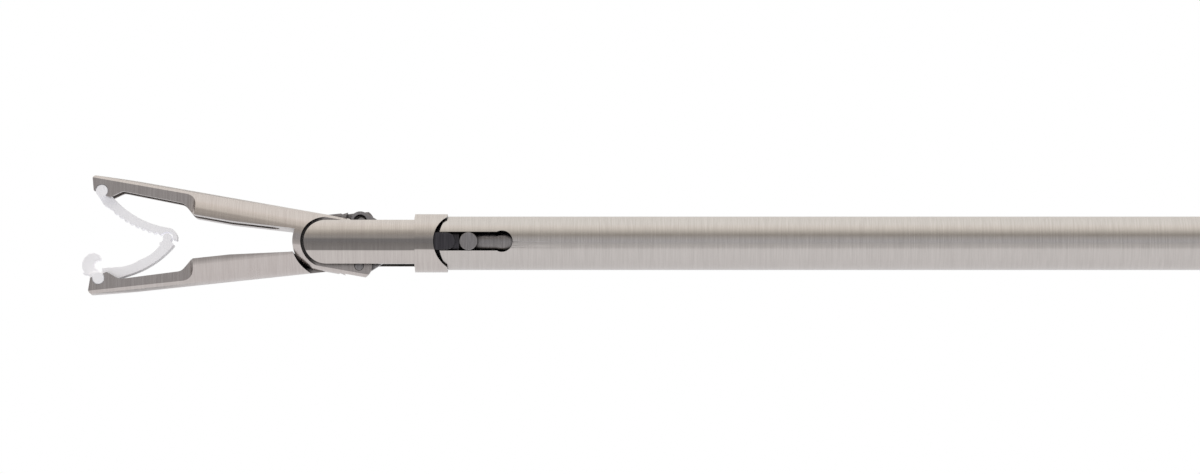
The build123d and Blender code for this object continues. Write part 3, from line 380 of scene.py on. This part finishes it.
def brushed_steel(name, code, dark_code, roughness, scratch_mm, depth, band=1.0):
    """Steel with scratches across the shaft, scratch_mm wide and depth millimetres deep.

    A band under 1 paints a dark reflection along the sides, by that factor."""
    material, tree = blank_material(name)
    place = node(tree, "TexCoord")
    fine = 1 / (scratch_mm * MM)
    scratches = stretched_noise(
        tree,
        place,
        (fine, fine / SCRATCH_STRETCH, fine / SCRATCH_STRETCH),
        Detail=3.0,
        Roughness=0.6,
    )
    clouds = stretched_noise(
        tree, place, (fine / CLOUD_LENGTH, fine / CLOUD_WIDTH, fine / CLOUD_WIDTH), Detail=2.0
    )
    shade = ranged(tree, scratches, SCRATCH_DARK, SCRATCH_BRIGHT)
    tone = mixed(tree, shade, linear(dark_code), linear(code))
    # Painted shade in the crevices, and a painted dark reflection along the sides, darken the
    # tone.
    level = painted_crevice_shade(tree)
    if band < 1:
        level = computed(tree, "MULTIPLY", level, painted_side_band(tree, place, scratches, band))
    shown = mixed(tree, 1.0, tone, level, blend_type="MULTIPLY")
    polish = ranged(
        tree,
        clouds,
        CLOUD_LOW,
        CLOUD_HIGH,
        roughness - POLISH_CHANGE,
        roughness + POLISH_CHANGE,
    )
    relief = node(
        tree, "Bump", {"Height": scratches, "Strength": 1.0, "Distance": depth * MM}
    )
    metal = node(
        tree,
        "BsdfPrincipled",
        {
            "Base Color": shown,
            "Metallic": 1.0,
            "Roughness": polish,
            "Normal": relief.outputs[0],
        },
    )
    node(tree, "OutputMaterial", {"Surface": metal.outputs[0]})
    return material


# Satin jaws: a soft, warm grey with a broad painted dark reflection along each side.
satin_steel = brushed_steel(
    "brushed_stainless", "D5CDC8", "CAC1BC", 0.24, 0.08, 0.004, band=0.72
)
# The yoke is polished more finely, and a stronger painted dark reflection of the lens lies
# along its sides.
yoke_steel = brushed_steel(
    "brushed_yoke_stainless", "D6CFC9", "CAC2BD", 0.20, 0.08, 0.004, band=0.42
)
# The tube is bright and even, with only a hint of rings, and mirrors the room itself; its
# painted side band is faint.
tube_steel = brushed_steel(
    "brushed_tube_stainless", "D4CEC9", "CAC4BF", 0.20, 0.08, 0.002, band=0.96
)
# Ground links and pins are greyer and flatter than the turned steel round them, and are
# painted darker still for the head's shade they lie in.
ground_steel_in_painted_shade = brushed_steel("ground_stainless_in_painted_shade", "A9A5A4", "878382", 0.28, 0.06, 0.004)
# Metal straight from the lathe shows its rings most, in a neutral, bright grey.
turned_steel = brushed_steel("turned_stainless", "D5D4D3", "BCBBBA", 0.26, 0.10, 0.004)
# Spring wire is blued by its heat treatment, a dull grey blue.
spring_steel = brushed_steel("blued_spring_steel", "7F8590", "646A75", 0.30, 0.08, 0.003)
# Painted shade: the rod lies in the tube's shade, so its steel is painted as a dim grey bar.
shaded_steel = brushed_steel("shaded_rod_stainless", "5F5C62", "4A474D", 0.38, 0.09, 0.004)
# Painted shade: the shank and its key deep in the tube are painted as dark, dull steel, so the
# key stands out in the bright tube.
shank_painted_shade_steel = brushed_steel("shank_painted_shade_stainless", "5A585C", "434145", 0.42, 0.09, 0.004)
print("steels mixed: 8")

# %% [markdown]
# ## Plastics
# The handle's shells are moulded in a steel mould with a spark-eroded texture: a fine,
# even grain about 0.3 mm across, which makes the plastic look matt. The soft grip is a
# rubbery overmoulding with ribs. Each is a noise in relief under a matt colour, and a slow
# noise varies the tone and the sheen where hands have been.

# %% Moulded plastics with a mould's grain
WEAR_PER_METRE = 60.0
WORN_DARK, WORN_PALE, SHEEN_CHANGE = 0.88, 1.10, 0.06
# A wave texture at scale 1 repeats over this length.
WAVE_LENGTH = math.tau / 20


def moulded(name, code, roughness, grain_mm, depth, specular=0.5, rib_mm=0, rib_depth=0.0):
    """Plastic or rubber with the fine grain of its mould, and ribs across where asked."""
    material, tree = blank_material(name)
    spot = node(tree, "TexCoord").outputs["Object"]
    grain = node(
        tree, "TexNoise", {"Vector": spot, "Scale": 1 / (grain_mm * MM), "Detail": 2.0}
    )
    wear = node(tree, "TexNoise", {"Vector": spot, "Scale": WEAR_PER_METRE, "Detail": 4.0})
    colour = linear(code)[:3]
    tone = mixed(
        tree,
        wear.outputs["Fac"],
        [c * WORN_DARK for c in colour] + [1],
        [min(1, c * WORN_PALE) for c in colour] + [1],
    )
    sheen = ranged(
        tree, wear.outputs["Fac"], 0.0, 1.0, roughness - SHEEN_CHANGE, roughness + SHEEN_CHANGE
    )
    relief = node(
        tree,
        "Bump",
        {"Height": grain.outputs["Fac"], "Strength": 1.0, "Distance": depth * MM},
    )
    if rib_mm:
        bands = node(
            tree,
            "TexWave",
            {"Vector": spot, "Scale": WAVE_LENGTH / (rib_mm * MM)},
            bands_direction="Z",
        )
        relief = node(
            tree,
            "Bump",
            {
                "Height": bands.outputs["Fac"],
                "Strength": 1.0,
                "Distance": rib_depth * MM,
                "Normal": relief.outputs[0],
            },
        )
    plastic = node(
        tree,
        "BsdfPrincipled",
        {
            "Base Color": tone,
            "Roughness": sheen,
            "Normal": relief.outputs[0],
            "Specular IOR Level": specular,
        },
    )
    node(tree, "OutputMaterial", {"Surface": plastic.outputs[0]})
    return material


# The shells are a slate grey nylon, matt and slightly pebbled.
shell_plastic = moulded("moulded_nylon_shell", "454A53", 0.46, 0.35, 0.05)
# The knob is the same nylon, darker and a little glossier from a smoother mould.
knob_plastic = moulded("moulded_nylon_knob", "33373F", 0.38, 0.30, 0.03)
# The grip is a soft, nearly black rubber with shallow ribs that catch dull light.
grip_rubber = moulded(
    "soft_grip_rubber", "26272B", 0.70, 0.25, 0.03, specular=0.35, rib_mm=3.0, rib_depth=0.6
)
# Bearings and guides are ivory acetal, smooth and waxy.
acetal = moulded("turned_acetal", "E6E2D6", 0.38, 0.20, 0.004)
# The seal is black silicone, dull all over.
seal_rubber = moulded("moulded_silicone_seal", "232326", 0.60, 0.20, 0.006)
print("plastics mixed: 5")

# %% [markdown]
# The clip is moulded acetal polymer, milky and slightly see-through. Light enters it all
# round and scatters, so the real one glows faintly and has almost no shading. At this size
# that is one even veil. A weak painted glow, an emission of its own, stands for the light
# that comes through from behind.

# %% Milky polymer for the clip
FLOW_PER_METRE = 900.0
SMOOTHEST, ROUGHEST = 0.34, 0.48
# Strength of the clip's painted glow.
PAINTED_THROUGH_GLOW = 0.15

milky, tree = blank_material("milky_clip_polymer")
place = node(tree, "TexCoord")
flow = node(
    tree,
    "TexNoise",
    {"Vector": place.outputs["Object"], "Scale": FLOW_PER_METRE, "Detail": 2.0},
).outputs["Fac"]
polymer = node(
    tree,
    "BsdfPrincipled",
    {
        "Base Color": mixed(tree, flow, linear("F4F3F5"), linear("FDFCFE")),
        "Roughness": ranged(tree, flow, 0.0, 1.0, SMOOTHEST, ROUGHEST),
        "IOR": 1.48,
        "Emission Color": linear("F6F7FF"),
        "Emission Strength": PAINTED_THROUGH_GLOW,
    },
)
node(tree, "OutputMaterial", {"Surface": polymer.outputs[0]})
print("clip polymer mixed")

# %% [markdown]
# ## Finishing a CAD piece
# The CAD pieces have the right shapes, but their edges are knife sharp and their curves are
# made of flats. Real edges are broken by a file or a mould, and catch a thin line of light.
# So each piece gets a finished copy: its triangles are merged, its sharp edges get a small
# bevel, and its curves are shaded smooth. The copy then stands in for the CAD piece.

# %% Helpers that make a piece of a shape drawn in millimetres
def smooth(shape):
    """Shade a bmesh smooth."""
    for face in shape.faces:
        face.smooth = True
    return shape


def settle(name, shape, material, body, stands_for, modifiers):
    """Make a piece in metres of a bmesh in millimetres, and let it ride on its body."""
    mesh = bpy.data.meshes.new(name)
    bmesh.ops.recalc_face_normals(shape, faces=shape.faces)
    shape.to_mesh(mesh)
    shape.free()
    piece = bpy.data.objects.new(name, mesh)
    bpy.context.scene.collection.objects.link(piece)
    for kind, settings in modifiers:
        modifier = piece.modifiers.new(kind.lower(), kind)
        for key, value in settings.items():
            setattr(modifier, key, value)
    piece.data = bpy.data.meshes.new_from_object(
        piece.evaluated_get(bpy.context.evaluated_depsgraph_get())
    )
    piece.modifiers.clear()
    piece.data.name = name
    bpy.data.meshes.remove(mesh)
    piece.data.transform(Matrix.Scale(MM, 4))
    piece.data.materials.clear()
    piece.data.materials.append(material)
    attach(piece, body)
    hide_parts(*stands_for)
    return piece


# %% [markdown]
# A CAD piece is brought in as a copy, so the CAD mesh itself is never touched. Flat faces
# come as many triangles, and those that lie in one plane are joined before the edges are
# bevelled, or the bevel would follow the seams.

# %% Helpers that copy a CAD piece and break its edges
SAME_POINT_MM = 0.0005
SAME_PLANE = math.radians(0.3)
SHARP_EDGE = math.radians(32)
BODY_OF = {
    n: body for body, names in frame["record"]["behaviour"]["bodies"].items() for n in names
}


def in_millimetres(name):
    """A copy of a CAD node in millimetres, with its doubled corners merged."""
    shape = bmesh.new()
    shape.from_mesh(frame["nodes"][name].data)
    bmesh.ops.transform(shape, matrix=Matrix.Scale(1000, 4), verts=shape.verts)
    bmesh.ops.remove_doubles(shape, verts=shape.verts, dist=SAME_POINT_MM)
    return shape


def broken_edges(width):
    """Bevel the sharp edges by a width in millimetres, then even out the shading."""
    bevel = {
        "width": width,
        "segments": 2,
        "limit_method": "ANGLE",
        "angle_limit": SHARP_EDGE,
        "harden_normals": False,
    }
    return [("BEVEL", bevel), ("WEIGHTED_NORMAL", {"keep_sharp": True, "weight": 60})]


def dress(name, material, edge, extra=None):
    """A finished copy of a CAD node, with its edges broken by edge millimetres.

    An extra shell may be laid round it."""
    shape = in_millimetres(name)
    bmesh.ops.dissolve_limit(
        shape, angle_limit=SAME_PLANE, verts=shape.verts, edges=shape.edges
    )
    if extra:
        shell = bpy.data.meshes.new(name + "_shell")
        extra.to_mesh(shell)
        shape.from_mesh(shell)
        bpy.data.meshes.remove(shell)
    return settle(
        name + "_finished",
        smooth(shape),
        material,
        BODY_OF[name],
        [name],
        broken_edges(edge),
    )


# %% [markdown]
# ## The jaw head
# The jaws are brushed by hand after turning, so their edges are barely rounded. The links
# and the crosshead are ground flat, and their pins are riveted over, which rounds them more.
# The rod is seen only through the keyhole, in shade.

# %% Finish the steel of the jaw head
for name, edge in (("upper_jaw", 0.07), ("lower_jaw", 0.07), ("jaw_pivot_pin", 0.05)):
    dress(name, satin_steel, edge)

LINKAGE = (
    ("bottom_link", 0.05),
    ("top_link", 0.05),
    ("upper_tail_pin", 0.10),
    ("lower_tail_pin", 0.10),
    ("crosshead", 0.06),
    ("crosshead_pin", 0.08),
    ("slot_pin", 0.08),
    ("rod_ball", 0.08),
)
for name, edge in LINKAGE:
    dress(name, ground_steel_in_painted_shade, edge)
dress("drive_rod", shaded_steel, 0.1)
print("jaw head:", 3 + len(LINKAGE) + 1, "pieces finished")

# %% [markdown]
# ## The handle
# The handle's metal parts come straight from the lathe with a small chamfer on each edge. The
# moulded shells have the widest edges of all, about half a millimetre, because a sharp edge
# would cut a glove and wouldn't leave its mould cleanly.

# %% Finish the handle's metal parts
HUB_METAL = (
    ("shaft_hub", 0.15),
    ("hub_retaining_ring", 0.06),
    ("flush_port", 0.15),
    ("housing_screws", 0.15),
    ("knob_grub_screw", 0.10),
    ("trigger_pivot_pin", 0.10),
    ("trigger_stop_pin", 0.10),
)
for name, edge in HUB_METAL:
    dress(name, turned_steel, edge)
dress("return_spring", spring_steel, 0.05)
print("handle's metal:", len(HUB_METAL) + 1, "pieces finished")

# %% [markdown]
# The shells and the trigger come out of their moulds with wide, round edges. The soft pads
# are moulded on afterwards, and the bearings inside are turned from rod, so their edges are
# smaller.

# %% Finish the handle's plastic parts
for name, edge in (("housing_left", 0.45), ("housing_right", 0.45), ("trigger", 0.5)):
    dress(name, shell_plastic, edge)
dress("rotation_knob", knob_plastic, 0.5)
for name in ("grip_backstrap", "trigger_pad"):
    dress(name, grip_rubber, 0.3)
for name, edge in (("front_bearing", 0.2), ("rod_guides", 0.1), ("trigger_bushings", 0.05)):
    dress(name, acetal, edge)
dress("rod_seal", seal_rubber, 0.1)
print("handle's plastic: 10 pieces finished")

# %% [markdown]
# ## The tube
# The tube is 5 mm across with a 0.3 mm wall. Its end is a rounded tongue, and a keyhole slot
# shows the rod inside. It is too long and too shiny for the CAD copy's coarse facets, so it
# is spun anew. Three helpers come first: one spins a profile, one pulls a flat outline out,
# and one makes an object that a boolean can use.

# %% Helpers that spin and pull shapes
TURNS = 128


def spun(profile):
    """Turn a closed profile of (x, radius) points round the shaft."""
    shape = bmesh.new()
    ring = [shape.verts.new((x, 0, r)) for x, r in profile]
    edges = [shape.edges.new((a, b)) for a, b in zip(ring, ring[1:] + ring[:1])]
    bmesh.ops.spin(
        shape,
        geom=ring + edges,
        cent=(0, 0, 0),
        axis=(1, 0, 0),
        angle=math.tau,
        steps=TURNS,
        use_merge=True,
    )
    bmesh.ops.recalc_face_normals(shape, faces=shape.faces)
    return shape


def pulled(outline, low, high):
    """A flat outline of (x, z) points in the side view, pulled out from y low to y high."""
    shape = bmesh.new()
    face = shape.faces.new([shape.verts.new((x, low, z)) for x, z in outline])
    grown = bmesh.ops.extrude_face_region(shape, geom=[face])["geom"]
    far = [v for v in grown if isinstance(v, bmesh.types.BMVert)]
    bmesh.ops.translate(shape, verts=far, vec=(0, high - low, 0))
    bmesh.ops.recalc_face_normals(shape, faces=shape.faces)
    return shape


def as_object(shape, name):
    """A plain object of a bmesh, for use in a boolean."""
    mesh = bpy.data.meshes.new(name)
    shape.to_mesh(mesh)
    shape.free()
    tool = bpy.data.objects.new(name, mesh)
    bpy.context.scene.collection.objects.link(tool)
    return tool


# %% [markdown]
# The profile is the wall, cut along the shaft. After the spin, every corner of the end ring
# is moved back along the shaft, the more the further it lies above or below the middle. That
# rounds the end into a tongue.

# %% Spin the tube
TUBE_RADIUS, TUBE_BORE = 2.5, 2.2
TONGUE_START, TONGUE_RADIUS = 10.5, 3.9
# A ring of corners here keeps the faces at the tongue short.
TONGUE_ZONE = 12
ON_RING = 1e-4

tongue_x = PIVOT.x + TONGUE_START
tube = spun(
    [
        (tongue_x, TUBE_BORE),
        (tongue_x, TUBE_RADIUS),
        (tongue_x + TONGUE_ZONE, TUBE_RADIUS),
        (0, TUBE_RADIUS),
        (0, TUBE_BORE),
    ]
)
for v in tube.verts:
    if abs(v.co.x - tongue_x) < ON_RING:
        v.co.x += TONGUE_RADIUS - math.sqrt(TONGUE_RADIUS**2 - v.co.z**2)
print("tube spun in", TURNS, "steps")

# %% [markdown]
# The keyhole is cut through the near wall only. Its outline is a round end with a straight
# slot that runs out through the tongue, and a boolean takes it away from the wall.

# %% Cut the keyhole
KEYHOLE_CENTRE, KEYHOLE_RADIUS, SLOT_HALF = 16.4, 1.0, 0.88
KEYHOLE_STEPS = 40
PAST_END, PAST_WALL = 2, 4

hole_x = PIVOT.x + KEYHOLE_CENTRE
start = math.asin(SLOT_HALF / KEYHOLE_RADIUS)
keyhole = [(tongue_x - PAST_END, SLOT_HALF), (tongue_x - PAST_END, -SLOT_HALF)]
for i in range(KEYHOLE_STEPS + 1):
    turn = math.pi + start + (math.tau - 2 * start) * i / KEYHOLE_STEPS
    keyhole.append(
        (hole_x + KEYHOLE_RADIUS * math.cos(turn), KEYHOLE_RADIUS * math.sin(turn))
    )
cutter = as_object(pulled(keyhole, -PAST_WALL, 0), "keyhole_cutter")
outer_tube = settle(
    "outer_tube_brushed",
    smooth(tube),
    tube_steel,
    "shaft",
    ["outer_tube"],
    [("BOOLEAN", {"object": cutter, "operation": "DIFFERENCE", "solver": "EXACT"})]
    + broken_edges(0.05),
)
bpy.data.objects.remove(cutter)
print("tube has", len(outer_tube.data.polygons), "faces")

# %% [markdown]
# The boolean leaves long thin faces beside the keyhole, and they would shade in streaks. So
# the shading of the outer wall is set one by one: every normal there points straight out from
# the shaft. The cut edges and the bore keep the normals that they have.

# %% Shade the tube as a true cylinder
ON_WALL_MM = 0.005
# A normal that points outward by less than this belongs to a cut edge.
SIDEWAYS = 0.3

normals = []
tube_mesh = outer_tube.data
for corner, loop in zip(tube_mesh.corner_normals, tube_mesh.loops):
    spot = tube_mesh.vertices[loop.vertex_index].co
    outward = Vector((0, spot.y, spot.z))
    on_wall = abs(outward.length - TUBE_RADIUS * MM) < ON_WALL_MM * MM
    outward.normalize()
    keep = not on_wall or corner.vector.dot(outward) < SIDEWAYS
    normals.append(corner.vector.copy() if keep else outward)
tube_mesh.normals_split_custom_set(normals)
print("normals set:", len(normals))

# %% [markdown]
# ## The yoke's collar
# The yoke's collar ends in a scallop that follows the tube's tongue, with blunt corners above
# and below. A thin sleeve is spun over the CAD collar for it, and its end ring is pulled into
# that curve. The shank that shows through the keyhole lies in shade, and it and its key are
# painted a dark steel for that shade.

# %% Lay the sleeve and paint shade on the shank
SLEEVE_FROM, SLEEVE_TO, SLEEVE_RADIUS, SLEEVE_BORE = 8.27, 11.3, 2.725, 2.25
SCALLOP_CENTRE, SCALLOP_RADIUS = 12.8, 2.8
SHANK_FROM, SHANK_RADIUS = 9.0, 2.435

sleeve = spun(
    [
        (PIVOT.x + SLEEVE_TO, SLEEVE_BORE),
        (PIVOT.x + SLEEVE_TO, SLEEVE_RADIUS),
        (PIVOT.x + SLEEVE_FROM, SLEEVE_RADIUS),
        (PIVOT.x + SLEEVE_FROM, SLEEVE_BORE),
    ]
)
sleeve_middle = PIVOT.x + (SLEEVE_FROM + SLEEVE_TO) / 2
for v in sleeve.verts:
    if v.co.x > sleeve_middle:
        depth = math.sqrt(max(0, SCALLOP_RADIUS**2 - v.co.z**2))
        v.co.x = PIVOT.x + min(SLEEVE_TO, SCALLOP_CENTRE - depth)
yoke = dress("jaw_yoke", yoke_steel, 0.09, smooth(sleeve))
# Painted shade: the faces of the shank and key inside the tube take the dark steel.
yoke.data.materials.append(shank_painted_shade_steel)
for face in yoke.data.polygons:
    radius = math.hypot(face.center.y, face.center.z)
    if face.center.x > (PIVOT.x + SHANK_FROM) * MM and radius < SHANK_RADIUS * MM:
        face.material_index = 1
print("faces in painted shade:", sum(face.material_index for face in yoke.data.polygons))

# %% [markdown]
# ## The clip
# The clip is one moulding: two curved arms, a thin bow that lets them close, and a hook that
# snaps over the other arm's tip. Rows of small teeth on the inner faces grip the vessel.
# The CAD arms get a small bar for each tooth, laid on an arc through three points of their
# inner curve.

# %% Lay out the teeth
# The clip's hinge and the bosses that sit in the jaws' notches, as (x, z).
HINGE = (PIVOT.x - 14.85, 0.45)
UPPER_BOSS, LOWER_BOSS = (PIVOT.x - 20.943, 4.810), (PIVOT.x - 21.222, -3.374)
# Where the arms' inner curves meet the hinge, as offsets from it.
CUP_POINT, KNUCKLE_POINT = (-0.38, 0.38), (-0.39, -0.14)
TOOTH_RADIUS, TOOTH_HALF_WIDTH = 0.15, 0.86
UPPER_COUNT, LOWER_COUNT = 9, 3


def beside(place, offset):
    """A point given as an offset from a place."""
    return (place[0] + offset[0], place[1] + offset[1])


def arc(a, b, c, count):
    """Points on the circle through a, b and c, spread evenly from a to c."""
    ax, az, bx, bz, cx, cz = *a, *b, *c
    d = 2 * (ax * (bz - cz) + bx * (cz - az) + cx * (az - bz))
    sa, sb, sc = ax * ax + az * az, bx * bx + bz * bz, cx * cx + cz * cz
    ux = (sa * (bz - cz) + sb * (cz - az) + sc * (az - bz)) / d
    uz = (sa * (cx - bx) + sb * (ax - cx) + sc * (bx - ax)) / d
    radius = math.hypot(ax - ux, az - uz)
    first, middle, last = (math.atan2(z - uz, x - ux) for x, z in (a, b, c))
    turn, part = (last - first) % math.tau, (middle - first) % math.tau
    if part > turn:
        turn -= math.tau
    turns = [first + turn * (i + 0.5) / count for i in range(count)]
    return [(ux + radius * math.cos(t), uz + radius * math.sin(t)) for t in turns]


def toothed(name, teeth):
    """A copy of a CAD arm in millimetres, with a bar across it for each tooth."""
    shape = in_millimetres(name)
    for x, z in teeth:
        place = Matrix.Translation((x, 0, z)) @ Matrix.Rotation(math.pi / 2, 4, "X")
        bmesh.ops.create_cone(
            shape,
            cap_ends=True,
            segments=12,
            radius1=TOOTH_RADIUS,
            radius2=TOOTH_RADIUS,
            depth=2 * TOOTH_HALF_WIDTH,
            matrix=place,
        )
    return shape


upper_teeth = arc(
    beside(UPPER_BOSS, (1.043, -1.81)),
    beside(UPPER_BOSS, (3.543, -3.36)),
    beside(HINGE, CUP_POINT),
    UPPER_COUNT,
)
lower_teeth = arc(
    beside(HINGE, KNUCKLE_POINT),
    beside(HINGE, (-1.10, -1.17)),
    beside(HINGE, (-2.25, -1.92)),
    LOWER_COUNT,
)
upper_arm = toothed("clip_upper_arm", upper_teeth)
lower_arm = toothed("clip_lower_arm", lower_teeth)
print("teeth:", len(upper_teeth), "above and", len(lower_teeth), "below")

# %% [markdown]
# The CAD hook is angular, and the real one is a round curl. So the CAD hook is cut off the
# lower arm, and a curl takes its place. The curl's outline is drawn from the lower boss.

# %% Give the lower arm its curl
HOOK_HALF_WIDTH = 0.42
CURL = [
    (0.1, 0.40),
    (-0.9, 0.30),
    (-1.35, 0.62),
    (-1.58, 0.95),
    (-1.60, 1.5),
    (-1.38, 2.0),
    (-0.95, 2.36),
    (-0.45, 2.46),
    (0.02, 2.24),
    (0.20, 1.90),
    (0.06, 1.70),
    (-0.28, 1.66),
    (-0.50, 1.42),
    (-0.44, 1.08),
    (-0.1, 0.85),
]
OLD_HOOK = [(-2.4, 0.62), (0.3, 0.62), (0.3, 3), (-2.4, 3)]
OLD_HOOK_HALF_WIDTH = 2


def hook_tool(outline, half_width, name):
    """An outline drawn from the lower boss, as an object that is 2 half widths wide."""
    points = [beside(LOWER_BOSS, spot) for spot in outline]
    return as_object(pulled(points, -half_width, half_width), name)


whole = as_object(lower_arm, "whole_lower_arm")
changes = (
    (hook_tool(OLD_HOOK, OLD_HOOK_HALF_WIDTH, "old_hook"), "DIFFERENCE"),
    (hook_tool(CURL, HOOK_HALF_WIDTH, "curl"), "UNION"),
)
for tool, operation in changes:
    change = whole.modifiers.new(operation.lower(), "BOOLEAN")
    change.object = tool
    change.operation = operation
bpy.context.view_layer.update()
changed = whole.evaluated_get(bpy.context.evaluated_depsgraph_get())
curled_arm = bmesh.new()
curled_arm.from_mesh(changed.to_mesh())
for tool in (whole, *(tool for tool, operation in changes)):
    bpy.data.objects.remove(tool)
print("curl joined to the lower arm")

# %% [markdown]
# Last, a voxel remesh melts each arm, its teeth and its curl into one skin, and a few rounds
# of smoothing leave the soft corners of a moulding.

# %% Melt each arm into one skin
MELTED = [
    ("REMESH", {"mode": "VOXEL", "voxel_size": 0.05}),
    ("SMOOTH", {"factor": 0.5, "iterations": 3}),
]
for name, shape in (("clip_upper_arm", upper_arm), ("clip_lower_arm", curled_arm)):
    arm = settle(name + "_moulded", smooth(shape), milky, name, [name], MELTED)
    print(name, "has", len(arm.data.polygons), "faces")
